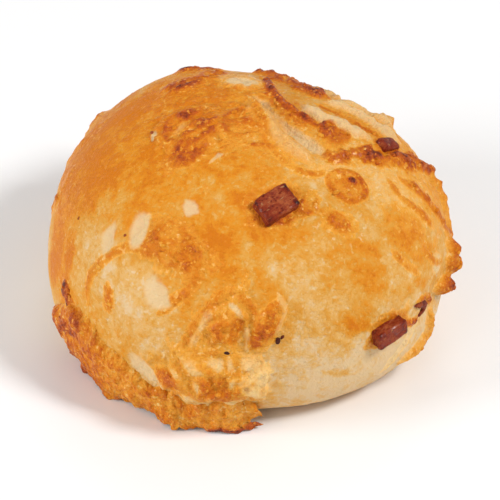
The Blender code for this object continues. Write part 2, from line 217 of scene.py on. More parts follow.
PATCHES = {
    "shoulder sheet": dict(at=(6, 50), turn=10, size=(46, 44), rise=0.3, cheese=0.55, toast=0.16),
    "crown sheet": dict(at=(120, 14), turn=0, size=(44, 30), rise=0.2, cheese=0.5, toast=0.24),
    "left blister": dict(
        at=(173, 22), turn=10, size=(15.5, 12), rise=0.9, toast=0.49, rim=0.10, hollow=0.5,
    ),
    "blister window": dict(at=(178, 24), turn=60, size=(5.4, 3.4), rise=-0.2, toast=-0.6, pale=0.36),
    "blister streaks": dict(at=(-174, 18), turn=141, size=(8.4, 9.7), rise=0.6, toast=0.54),
    "lower blister": dict(at=(-154, 24), turn=20, size=(11, 7), rise=0.7, toast=0.66),
    "crown blister": dict(
        at=(136, 3), turn=-175, size=(10.2, 13.0), rise=0.8, toast=0.36, rim=0.18, hollow=0.4,
    ),
    "back red crust": dict(at=(111, 46), turn=75, size=(13, 6), rise=0.5, toast=0.60),
    "back amber": dict(at=(128, 34), turn=60, size=(11, 7), rise=0.5, toast=0.66),
    "back blotch": dict(at=(110, 36), turn=-60, size=(10, 7), rise=0.4, toast=0.52),
    "back pale crust": dict(at=(95, 29), turn=60, size=(11, 9), rise=0.8, toast=0.14, pale=0.4),
    "dark edge end": dict(at=(1, 25), turn=70, size=(7.5, 4.6), rise=0.9, toast=0.70),
    "end patch": dict(at=(-4, 29), turn=60, size=(9, 5), rise=0.3, toast=0.48),
    "oval drop": dict(at=(-34, 38), turn=13, size=(8.8, 7.0), rise=0.3, toast=0.30, soft=0.3, calm=0.8),
    "drop dot": dict(at=(-31, 38.5), turn=0, size=(3.2, 2.8), rise=0.2, toast=0.56, calm=1.0),
    "low drop": dict(at=(-49.5, 47), turn=28, size=(8.4, 5.4), rise=0.3, toast=0.38, soft=0.4, calm=1.0),
    "drop by the dice": dict(
        at=(-59, 39), turn=120, size=(7.0, 5.0), rise=0.5, toast=0.52, soft=0.35, calm=1.0,
    ),
    "loop crust": dict(at=(-119, 53), turn=80, size=(19, 11), rise=1.0, toast=0.33, rim=0.06, soft=0.3),
    "loop core": dict(at=(-111, 55), turn=10, size=(9, 7), rise=0.3, toast=0.43),
    "loop corner": dict(at=(-130, 57), turn=80, size=(7, 4), rise=0.3, toast=0.43),
    "loop top": dict(at=(-124, 48), turn=95, size=(14, 4.0), rise=0.3, toast=0.34),
    "long leaf": dict(at=(-97, 72), turn=-24, size=(19, 10), rise=1.5, toast=0.28, soft=0.2, streaks=0.25),
    "short leaf": dict(at=(-82, 72), turn=-27, size=(13, 6.0), rise=1.5, toast=0.38, soft=0.2, streaks=0.2),
    "leaf bridge": dict(at=(-98, 83), turn=80, size=(17, 6), rise=0.8, toast=0.27, soft=0.5, streaks=0.2),
    "pale lump": dict(
        at=(-98, 92), turn=91, size=(26, 12.5), rise=2.4, toast=0.29, soft=0.15, streaks=0.35, rough=0.45,
    ),
    "lump middle": dict(
        at=(-96, 93), turn=80, size=(15, 9), rise=0.2, toast=0.42, soft=0.5, streaks=0.45, rough=0.6,
    ),
    "pale lump end": dict(
        at=(-85, 91), turn=60, size=(7, 8), rise=0.4, toast=-0.6, pale=0.28, soft=0.4, streaks=0.3,
    ),
    "lump wing": dict(at=(-111, 92), turn=90, size=(8, 6), rise=0.5, toast=0.40, streaks=0.3),
    "horizon drop": dict(at=(27, 56), turn=0, size=(6, 5), rise=1.3, toast=0.2, pale=0.3, rim=0.2),
    "rim crust": dict(at=(-8, 84), turn=10, size=(11, 7), rise=2.0, toast=0.36, rim=0.2),
    "rim corner": dict(at=(-14, 89), turn=60, size=(7, 5), rise=2.2, toast=0.58),
    "rim pale": dict(at=(-19, 78), turn=40, size=(6, 4.4), rise=0.2, pale=0.7, toast=-0.2),
    # Round the dice: browned cheese next to each die, and painted shade where the die sits down in the crust.
    "round the first die": dict(
        at=(-76, 37.5), turn=112, size=(13.5, 11), rise=0.1, toast=0.52, soft=0.3, calm=1.0,
    ),
    "round the second die": dict(at=(-44, 84.5), turn=102, size=(12, 7.5), rise=0.1, toast=0.50, soft=0.35),
    "round the third die": dict(at=(2, 45), turn=38, size=(9, 6.6), rise=0.2, toast=0.50, soft=0.35),
    "far patch 1": dict(at=(108, 78), turn=30, size=(15, 10), rise=1.1, toast=0.45, rim=0.15),
    "far patch 2": dict(at=(60, 64), turn=70, size=(12, 8), rise=1.1, toast=0.35, rim=0.2),
    "far patch 3": dict(at=(142, 68), turn=-20, size=(13, 8), rise=0.6, toast=0.30, rim=0.1),
    "far patch 4": dict(at=(84, 92), turn=90, size=(20, 9), rise=1.6, toast=0.36, shreds=0.5),
    "far patch 5": dict(at=(28, 84), turn=20, size=(12, 7), rise=1.1, toast=0.45, rim=0.1),
}

# Where the dough itself baked darker, or paler if below 0: middle, turn, size, change and softness of edge.
STAINS = [
    ((-47.5, 65.5), 39, (13, 6.8), 0.38, 0.48),
    ((-44, 58), 60, (8, 4), 0.24, 0.6),
    ((-27, 62), 26, (17, 8.0), 0.38, 0.45),
    ((-54, 77), 70, (9, 5), 0.24, 0.6),
    ((-160, 76), 20, (9, 5), 0.50, 0.5),
    ((-171, 88), 0, (14, 7), 0.40, 0.7),
    ((-158, 87), 20, (12, 7), 0.34, 0.7),
    ((-166, 79), 60, (8, 6), 0.30, 0.5),
    ((162, 66), 10, (18, 7), 0.26, 0.7),
    ((150, 46), 40, (14, 8), 0.20, 0.7),
    ((-59, 94), 70, (6.5, 2.6), 0.60, 0.4),
    ((-90, 37), 20, (9, 5), 0.20, 0.7),
    ((-76, 46), 80, (12, 4), 0.26, 0.6),
    ((-140, 68), 20, (9, 4), -0.30, 0.7),
    ((178, 60), 40, (12, 7), 0.30, 0.7),
    ((-128, 36), 30, (16, 9), 0.12, 0.7),
    ((-62, 54), 60, (12, 6), 0.14, 0.7),
    ((-106, 46), 40, (12, 7), 0.18, 0.7),
    ((-152, 44), 20, (16, 6), 0.20, 0.6),
    ((-168, 56), 10, (12, 5), 0.24, 0.6),
    ((-56, 78), 64, (10, 4), 0.34, 0.5),
    ((-36, 74), 80, (8, 4), 0.18, 0.6),
]

# Where the skin of the dough shows milky, because a flake came away: middle, turn and size.
PALE_SPOTS = [
    ((-121, 40), 60, (4.8, 3.4)),
    ((-137, 53), 30, (8.6, 5.6)),
    ((-147, 61), 26, (7.6, 4.4)),
    ((-119, 93), 70, (9.0, 4.0)),
    ((-119, 68), 50, (8.0, 6.0)),
    ((178, 34), 70, (2.4, 1.1)),
    ((96, 27), 80, (7.5, 4.0)),
]
PALE_SPOT = dict(rise=-0.25, toast=-0.8, pale=0.9, soft=0.4, cheese=0.0)

# Light blisters and shred ends that stand up from the lump at the foot: middle, turn and size.
LIGHT_DROPS = [
    ((-104, 86), 60, (4.4, 2.4)),
    ((-97, 84), 90, (4.0, 2.6)),
    ((-93, 84.5), 20, (3.4, 1.8)),
    ((-87, 84.5), 80, (4.6, 3.0)),
    ((-83, 90), 20, (5.0, 3.2)),
    ((-85, 94), 50, (4.4, 2.6)),
    ((-102, 92), 10, (3.6, 1.4)),
    ((-98, 96), 15, (3.0, 1.3)),
    ((-92, 90), -10, (3.4, 1.2)),
    ((-104, 98), 50, (4.0, 2.2)),
    ((-100, 101), 80, (3.6, 1.8)),
    ((-92, 99), 110, (4.2, 2.0)),
    ((-109, 89), 70, (3.0, 1.6)),
]
LIGHT_DROP = dict(rise=0.5, toast=-0.7, pale=0.42, soft=0.65)

# How golden the bare dough is, from 0, milky, to 1, amber: (place, reach in degrees, change).
GOLDEN = 0.56
TINTS = [
    ((165, 52), 36, 0.34),
    ((140, 20), 26, 0.24),
    ((-60, 100), 22, -0.60),
    ((-20, 100), 22, -0.45),
    ((-128, 72), 13, -0.30),
    ((-160, 74), 12, -0.18),
    ((-72, 58), 16, -0.16),
    ((-88, 30), 16, 0.14),
    ((-100, 110), 20, -0.25),
    ((-96, 92), 9, -0.35),
    ((-86, 90), 6, -0.25),
    ((-92, 74), 6, 0.12),
    ((-172, 84), 10, 0.25),
    ((-48, 90), 10, -0.20),
    ((60, 104), 30, -0.45),
    ((170, 108), 30, -0.45),
    ((-20, 50), 13, -0.28),
    ((-42, 32), 9, -0.20),
    ((-150, 58), 13, -0.22),
    ((-104, 58), 10, 0.14),
    ((-90, 58), 12, 0.10),
    ((-174, 66), 14, 0.20),
    ((2, 72), 14, 0.08),
    ((-40, 70), 7, -0.18),
]

# Aprons: cheese that ran down and set round the foot. Three tables are by compass angle: the polar angle of
# the top edge, how far out the edge on the tray lies, and how dark the cheese browned. taper is the share of
# the length over which each end thins out. end is how far the far end swings round, from top to foot.
APRONS = {
    "front apron": dict(
        tops=(
            [-165, -160, -154, -146, -140, -133, -122, -115, -109, -103, -97, -90, -83],
            [99, 92, 87, 84, 84, 89, 91, 97, 98, 102.5, 102, 99, 101],
        ),
        edge=(
            [-165, -160, -156, -148, -142, -132, -124, -116, -108, -95, -83],
            [40.0, 39.6, 39.6, 39.8, 40.9, 41.5, 40.2, 41.5, 43.0, 42.0, 41.2],
        ),
        toast=(
            [-165, -154, -146, -134, -124, -114, -104, -94, -83],
            [0.46, 0.58, 0.60, 0.40, 0.28, 0.38, 0.32, 0.23, 0.30],
        ),
        taper=(0.1, 0.015),
        end=([0, 0.4, 0.64, 0.82, 1.0], [-0.5, 1.0, 2.4, -3.2, 3.0]),
        seed=5,
    ),
    "back apron": dict(
        tops=([60, 76, 96, 110, 124], [96, 90, 93, 88, 96]),
        edge=([60, 76, 96, 110, 124], [39.6, 41.0, 40.4, 41.4, 39.8]),
        toast=([60, 90, 124], [0.40, 0.55, 0.42]),
        taper=(0.22, 0.25),
        end=([0, 0.4, 0.7, 1.0], [1.0, -1.5, 1.5, -3.0]),
        seed=9,
    ),
}
APRON_COLUMNS = 300
APRON_ROWS = 64
APRON_RADIUS = 41
APRON_THICKNESS = 1.5
TATTER_SIZES = (4.5, 1.6, 2.4, 7.0)
EDGE_TATTERS = (0.6, 0.4)
TOP_TATTERS = (1.6, 1.2)
# How far the edge hangs above the tray: everywhere, where it is ragged, where it waves, and at its two ends.
LOWEST_EDGE = 0.2
RAGGED_LIFT = 1.2
WAVY_LIFT = 0.7
END_LIFTS = (5.0, 1.0)
# A curtain roots in the crust at its top, hugs it down to a polar angle at most, then falls straight.
ROOTED, CLEAR = 0.6, 1.1
LOWEST_POLAR = 122
HUG_STEPS = 46
FALL_STEPS = 24
# Its lumps and fibres: how far apart, and how high.
APRON_LUMPS = ((4.0, 0.7), (1.8, 0.35))
APRON_FIBRES = (1.3, 0.3)

# Specks of browned bacon and pepper: (place, length, width, height, darkness).
SPECKS = [
    ((-94, 80), 0.7, 1.4, 0.6, 0.95),
    ((-79, 78), 1.0, 2.1, 0.6, 0.85),
    ((-148, 88), 1.7, 1.2, 0.9, 0.85),
    ((-144, 91), 1.3, 1.0, 0.7, 0.6),
    ((-141, 57), 0.7, 0.6, 0.4, 0.35),
    ((-166, 66), 0.8, 0.6, 0.4, 0.35),
    ((176, 34), 0.9, 0.8, 0.5, 0.3),
    ((100, 72), 1.8, 1.2, 0.8, 0.8),
    ((52, 58), 2.0, 1.3, 0.9, 0.7),
    ((135, 92), 1.4, 1.0, 0.7, 0.9),
    ((12, 94), 1.3, 0.9, 0.7, 0.9),
    ((-77.6, 77.2), 1.1, 0.7, 0.5, 0.7),
]

# Shreds of bacon that bend over the crust: path, width, darkness.
BACON_SHREDS = [
    ([(-33, 82.5), (-29, 84.5), (-26, 88), (-29, 90)], 1.9, 0.5),
    ([(92, 60), (86, 62), (84, 66)], 1.6, 0.5),
]

BACON_RINGS = 60
BACON_CORNERS = 12

# How uneven specks and shreds of bacon are, and how far they stand out of the crust for their size.
SPECK_ROUGH, BACON_ROUGH = 0.32, 0.22
SPECK_OUT, BACON_OUT = 0.12, 0.15

# What is strewn over the cheese: half-melted shreds where they lie thick, and blisters. Sizes are in
# millimetres, density is the most of them on a square metre, and toasts is by how much their toast differs.
SHRED_SIZES = {"apart": 2.0, "length": 3.0, "thickness": 1.3, "sunk": 0.42}
SHRED_DENSITY = 4.0e5
SHRED_TOASTS = (-0.16, 0.24)
SHRED_SEED = 4
BLISTER_SIZES = {"apart": 0.85, "across": 0.95, "sunk": 0.12}
BLISTER_DENSITY = 1.2e6
# The blisters' toast runs mostly lighter than the cheese under them: painted glints.
BLISTER_PAINTED_GLINT_TOASTS = (-0.22, 0.10)
BLISTER_SEED = 6
BLISTER_FACETS = {"Segments": 8, "Rings": 5}

# The dice: how many, how long their small faces are, and how high their unevenness and their fibres stand.
DICE_COUNT = 6
DICE_FACET = 0.55
DICE_UNEVEN = 0.28
DICE_FIBRE = 0.10

# ---------------------------------------------------------------- light and camera

# Lamps: name, place and width in metres, then watts. All of them are aimed at the middle of the roll.
LAMPS = [
    ("key", (0.75, -0.30, 0.95), 0.32, 9.35),
    ("fill", (-0.6, -0.9, 0.8), 0.5, 1.4),
    ("left edge", (-1.1, -0.3, 0.5), 0.5, 7.6),
    ("back", (0.1, 0.9, 0.9), 0.6, 1.6),
]
LAMP_AIM = (0, 0, 0.03)
SKY = 0.38

# The floor's half width and the camera's distance are in metres, the camera's elevation is in degrees, and
# the place that it looks at, its lens and its sensor are in millimetres.
FLOOR_REACH = 3
CAMERA_AIM = (4.0, 0.0, 20.4)
CAMERA_ELEVATION = 40
CAMERA_DISTANCE = 1.4
CAMERA_LENS = 431
CAMERA_SENSOR = 36

# ---------------------------------------------------------------- colours, linear

DOUGH_STOPS = [
    (0.0, (0.780, 0.545, 0.290)),
    (0.25, (0.770, 0.440, 0.136)),
    (0.5, (0.735, 0.340, 0.050)),
    (0.75, (0.745, 0.270, 0.012)),
    (1.0, (0.670, 0.190, 0.004)),
]
CHEESE_STOPS = [
    (0.0, (0.960, 0.610, 0.220)),
    (0.2, (0.860, 0.370, 0.038)),
    (0.4, (0.720, 0.210, 0.006)),
    (0.6, (0.540, 0.105, 0.005)),
    (0.8, (0.340, 0.050, 0.006)),
    (1.0, (0.130, 0.020, 0.005)),
]
MILKY = (0.800, 0.600, 0.345, 1.0)
MILKY_SHARE = 0.75
BACON_STOPS = [
    (0.0, (0.420, 0.100, 0.030)),
    (0.3, (0.250, 0.026, 0.006)),
    (0.6, (0.110, 0.008, 0.002)),
    (0.85, (0.024, 0.006, 0.008)),
]
FAT = (0.60, 0.30, 0.12, 1.0)
SPECK_STOPS = [(0.0, (0.50, 0.13, 0.03)), (0.5, (0.20, 0.028, 0.010)), (1.0, (0.030, 0.014, 0.010))]
FLOOR = (0.93, 0.93, 0.93, 1.0)
WHITE = (1.0, 1.0, 1.0, 1.0)

# How far red light travels inside the food, in millimetres, the share of it that each colour goes, and sheen.
GLOW_DEPTH = 2.2
GLOW_RADII = (1.0, 0.42, 0.16)
SHEEN = 0.14

# ---------------------------------------------------------------- nodes as arithmetic


class Value:
    """A node socket that Python arithmetic works on; each operation adds the node that does it."""

    def __init__(self, graph, socket):
        self.graph, self.socket = graph, socket

    def combine(self, operation, left, right):
        vector = any(isinstance(side, Value) and side.socket.type == "VECTOR" for side in (left, right))
        kind = "ShaderNodeVectorMath" if vector else "ShaderNodeMath"
        return self.graph.add(kind, {"operation": operation}, {0: left, 1: right})

    def __add__(self, other):
        return self.combine("ADD", self, other)

    def __sub__(self, other):
        return self.combine("SUBTRACT", self, other)

    def __rsub__(self, other):
        return self.combine("SUBTRACT", other, self)

    def __mul__(self, other):
        return self.combine("MULTIPLY", self, other)

    def __truediv__(self, other):
        return self.combine("DIVIDE", self, other)

    def __rtruediv__(self, other):
        return self.combine("DIVIDE", other, self)

    def __pow__(self, other):
        return self.combine("POWER", self, other)

    def __gt__(self, other):
        return self.combine("GREATER_THAN", self, other)

    __radd__ = __add__
    __rmul__ = __mul__


class Graph:
    """A node tree that is built by calls."""

    def __init__(self, tree):
        self.tree = tree

    def add(self, kind, settings=None, inputs=None, output=0):
        """The named output of a new node: its settings first, then the values or links of its sockets."""
        made = self.tree.nodes.new(kind)
        for name, setting in (settings or {}).items():
            if name == "stops":
                self.set_stops(made.color_ramp, setting)
            else:
                setattr(made, name, setting)
        for key, value in (inputs or {}).items():
            socket = made.inputs[key]
            if isinstance(value, Value):
                self.tree.links.new(value.socket, socket)
            elif socket.type == "VECTOR" and isinstance(value, (int, float)):
                socket.default_value = (value,) * 3
            else:
                socket.default_value = value
        return Value(self, made.outputs[output])

    @staticmethod
    def set_stops(ramp, stops):
        while len(ramp.elements) < len(stops):
            ramp.elements.new(1.0)
        for element, (position, colour) in zip(ramp.elements, stops):
            element.position, element.color = position, (*colour, 1.0)

    def math(self, operation, *values, clamp=False):
        settings = {"operation": operation, "use_clamp": clamp}
        return self.add("ShaderNodeMath", settings, dict(enumerate(values)))

    def clamp(self, value):
        return self.math("ADD", value, 0.0, clamp=True)

    def step(self, low, high, value):
        """From 0 below low to 1 above high, smoothly."""
        limits = {"Value": value, "From Min": low, "From Max": high}
        return self.add("ShaderNodeMapRange", {"interpolation_type": "SMOOTHSTEP"}, limits)

    def dot(self, left, right):
        return self.add("ShaderNodeVectorMath", {"operation": "DOT_PRODUCT"}, {0: left, 1: right}, "Value")

    def unit(self, vector):
        return self.add("ShaderNodeVectorMath", {"operation": "NORMALIZE"}, {0: vector})

    def parts(self, vector):
        split = self.add("ShaderNodeSeparateXYZ", inputs={0: vector}).socket.node
        return [Value(self, socket) for socket in split.outputs]

    def join(self, x, y, z):
        return self.add("ShaderNodeCombineXYZ", inputs={0: x, 1: y, 2: z})

    def ramp(self, value, stops):
        return self.add("ShaderNodeValToRGB", {"stops": stops}, {"Fac": value}, "Color")

    def blend(self, first, second, factor, mode="MIX"):
        settings = {"data_type": "RGBA", "blend_type": mode, "clamp_factor": True}
        return self.add("ShaderNodeMix", settings, {"Factor": factor, 6: first, 7: second}, 2)

    def noise(self, where, size, detail=3.0, roughness=0.55, distortion=0.0):
        """Smooth noise from 0 to 1 whose features are size millimetres across."""
        inputs = {"Vector": where, "Scale": 1 / (size * MM), "Detail": detail}
        inputs |= {"Roughness": roughness, "Distortion": distortion}
        return self.add("ShaderNodeTexNoise", {}, inputs, "Fac")

    def chance(self, low, high, seed):
        """A random number from low to high for each point or instance."""
        return self.add("FunctionNodeRandomValue", {}, {"Min": low, "Max": high, "Seed": seed}, 1)

    def attribute(self, name, output="Fac"):
        return self.add("ShaderNodeAttribute", {"attribute_name": name}, {}, output)


# ---------------------------------------------------------------- small maths on arrays


def heading(compass, polar):
    """The unit vectors from the core to places given in degrees."""
    around, down = np.radians(compass), np.radians(polar)
    return np.stack([np.sin(down) * np.cos(around), np.sin(down) * np.sin(around), np.cos(down)], -1)


def smooth(low, high, values):
    """From 0 at low to 1 at high, smoothly; high may be the smaller one."""
    share = np.clip((values - low) / (high - low), 0.0, 1.0)
    return share * share * (3 - 2 * share)


def unit(vectors):
    """The vectors at a length of 1."""
    return vectors / np.maximum(np.linalg.norm(vectors, axis=-1, keepdims=True), 1e-9)


# Large primes that turn the numbers of a cell and a seed into an even spread of values.
CELL_PRIMES = np.array([73856093, 19349663, 83492791])
SEED_PRIME = 2654435761
STIRS = ((13, 1274126177), (16, 2246822519))
WORD = 0xFFFFFFFF


def lattice(cells, seed):
    """A repeatable value from -1 to 1 for each whole-numbered cell."""
    mixed = cells.astype(np.int64) @ CELL_PRIMES + seed * SEED_PRIME
    for shift, prime in STIRS:
        mixed = ((mixed ^ (mixed >> shift)) & WORD) * prime & WORD
    return mixed / 2**31 - 1.0


def grain(points, size, seed, octaves=3):
    """Smooth noise from about -1 to 1 over points, with features about size across."""
    total, strength, weight = 0.0, 1.0, 0.0
    for octave in range(octaves):
        scaled = points / size * 2**octave
        cell = np.floor(scaled)
        share = scaled - cell
        share = share * share * (3 - 2 * share)
        value = 0.0
        for corner in np.ndindex(2, 2, 2):
            weights = np.prod(np.where(corner, share, 1 - share), axis=-1)
            value = value + weights * lattice(cell + corner, seed + octave)
        total, weight = total + value * strength, weight + strength
        strength *= 0.5
    return total / weight * 1.5


def smooth_path(places, count):
    """Unit vectors along a smooth line through places: a Catmull-Rom curve among directions."""
    knots = [heading(*place) for place in places]
    knots = [knots[0] * 2 - knots[1], *knots, knots[-1] * 2 - knots[-2]]
    ways = []
    for reach in np.linspace(0, len(knots) - 3, count):
        span = min(int(reach), len(knots) - 4)
        t = reach - span
        a, b, c, d = knots[span : span + 4]
        ways.append(b * 2 + (c - a) * t + (a * 2 - b * 5 + c * 4 - d) * t**2 + (b * 3 - a - c * 3 + d) * t**3)
    return unit(np.array(ways))


# ---------------------------------------------------------------- meshes and pieces


def shaped_by(tree, inputs, name, source=None):
    """A plain mesh from a Geometry Nodes tree with named inputs, on the source mesh if there is one."""
    holder = bpy.data.objects.new(name, source or bpy.data.meshes.new(name))
    bpy.context.scene.collection.objects.link(holder)
    modifier = holder.modifiers.new("shape", "NODES")
    modifier.node_group = tree
    for item in tree.interface.items_tree:
        if item.item_type == "SOCKET" and item.in_out == "INPUT" and item.name in inputs:
            modifier[item.identifier] = inputs[item.name]
    depsgraph = bpy.context.evaluated_depsgraph_get()
    mesh = bpy.data.meshes.new_from_object(holder.evaluated_get(depsgraph), depsgraph=depsgraph)
    used = holder.data
    bpy.data.objects.remove(holder)
    bpy.data.meshes.remove(used)
    mesh.name = name
    return mesh


def read(items, name, width=1):
    """One property of many items as an array."""
    values = np.empty(len(items) * width, dtype=np.float32)
    items.foreach_get(name, values)
    return values.reshape(-1, width).astype(float) if width > 1 else values.astype(float)


def finish_mesh(mesh, points, fields):
    """Puts points, in millimetres, and fields, one value a vertex, into a mesh and shades it smooth."""
    mesh.vertices.foreach_set("co", (points * MM).astype(np.float32).ravel())
    for name, values in fields.items():
        stored = mesh.attributes.get(name) or mesh.attributes.new(name, "FLOAT", "POINT")
        stored.data.foreach_set("value", values.astype(np.float32))
    mesh.polygons.foreach_set("use_smooth", np.ones(len(mesh.polygons), dtype=bool))
    mesh.update()


def new_mesh(name, points, faces, fields):
    """A smooth mesh of points, in millimetres, and faces, with fields of one value a vertex."""
    mesh = bpy.data.meshes.new(name)
    mesh.from_pydata(np.zeros_like(points).tolist(), [], faces)
    finish_mesh(mesh, points, fields)
    return mesh


def new_piece(mesh, slot, finish, *nodes):
    """An object that rides on the roll with its finish, in place of the CAD nodes named; slot is not used."""
    mesh.materials.clear()
    mesh.materials.append(finish)
    piece = bpy.data.objects.new(mesh.name, mesh)
    bpy.context.scene.collection.objects.link(piece)
    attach(piece, "root")
    if nodes:
        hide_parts(*nodes)
    return piece


# ---------------------------------------------------------------- the crust's form


def new_tree(name, inputs):
    """A Geometry Nodes tree with named inputs, given as {name: socket type}: its graph and the inputs."""
    tree = bpy.data.node_groups.new(name, "GeometryNodeTree")
    for title, kind in inputs.items():
        tree.interface.new_socket(title, in_out="INPUT", socket_type="NodeSocket" + kind)
    tree.interface.new_socket("Geometry", in_out="OUTPUT", socket_type="NodeSocketGeometry")
    graph = Graph(tree)
    given = tree.nodes.new("NodeGroupInput")
    return graph, [Value(graph, socket) for socket in given.outputs[: len(inputs)]]


def close_tree(graph, geometry, finish):
    """Ends a tree: instances made real, the material set."""
    geometry = graph.add("GeometryNodeRealizeInstances", inputs={0: geometry})
    geometry = graph.add("GeometryNodeSetMaterial", inputs={"Geometry": geometry, "Material": finish})
    graph.tree.links.new(geometry.socket, graph.tree.nodes.new("NodeGroupOutput").inputs[0])
    return graph.tree


def roll_tree():
    """Geometry Nodes that shape a closed grid into the roll."""
    floats = ["Radius", "Waist height", "Dome rise", "Dome fullness", "Belly drop", "Belly fullness"]
    inputs = {**dict.fromkeys(floats, "Float"), "Vertices on a side": "Int", "Finish": "Material"}
    graph, given = new_tree("bread roll", inputs)
    radius, waist, rise, dome_fullness, drop, belly_fullness, side, finish = given

    cage = {"Size": (2.0, 2.0, 2.0), "Vertices X": side, "Vertices Y": side, "Vertices Z": side}
    cube = graph.add("GeometryNodeMeshCube", inputs=cage, output="Mesh")
    corner = graph.parts(graph.add("GeometryNodeInputPosition"))
    even = graph.join(*(graph.math("TANGENT", part * (math.pi / 4)) for part in corner))
    way = graph.unit(graph.unit(even) + FINER_TOWARDS)
    x, y, z = graph.parts(way)
    upper = z > 0.0
    fullness = belly_fullness + upper * (dome_fullness - belly_fullness)
    reach = drop + upper * (rise - drop)
    across = graph.math("SQRT", x * x + y * y) / radius
    distance = across**fullness + graph.math("ABSOLUTE", z / reach) ** fullness
    distance = distance ** (-1.0 / fullness)
    for place, spread, lift in SWELLINGS:
        angle = graph.math("ARCCOSINE", graph.dot(way, tuple(heading(*place))))
        falloff = graph.math("EXPONENT", (angle / math.radians(spread)) ** 2.0 * -1.0)
        distance = distance + falloff * (lift * MM)
    around = graph.math("ARCTAN2", y, x)
    width = 1.0 + graph.math("COSINE", around * 2.0) * OVAL[0] + graph.math("SINE", around * 2.0) * OVAL[1]
    width = width + graph.math("COSINE", around * 3.0) * THREE_LOBED[0]
    width = width + graph.math("SINE", around * 3.0) * THREE_LOBED[1]
    height = graph.math("MAXIMUM", waist + distance * z, 0.0)
    lean = height / (waist + rise)
    place_x = x * distance * width + lean * (CROWN_LEAN[0] * MM)
    place_y = y * distance * width + lean * (CROWN_LEAN[1] * MM)

    named = {"Geometry": cube, "Name": "way", "Value": way}
    kept = graph.add("GeometryNodeStoreNamedAttribute", {"data_type": "FLOAT_VECTOR"}, named)
    placed = {"Geometry": kept, "Position": graph.join(place_x, place_y, height)}
    return close_tree(graph, graph.add("GeometryNodeSetPosition", inputs=placed), finish)


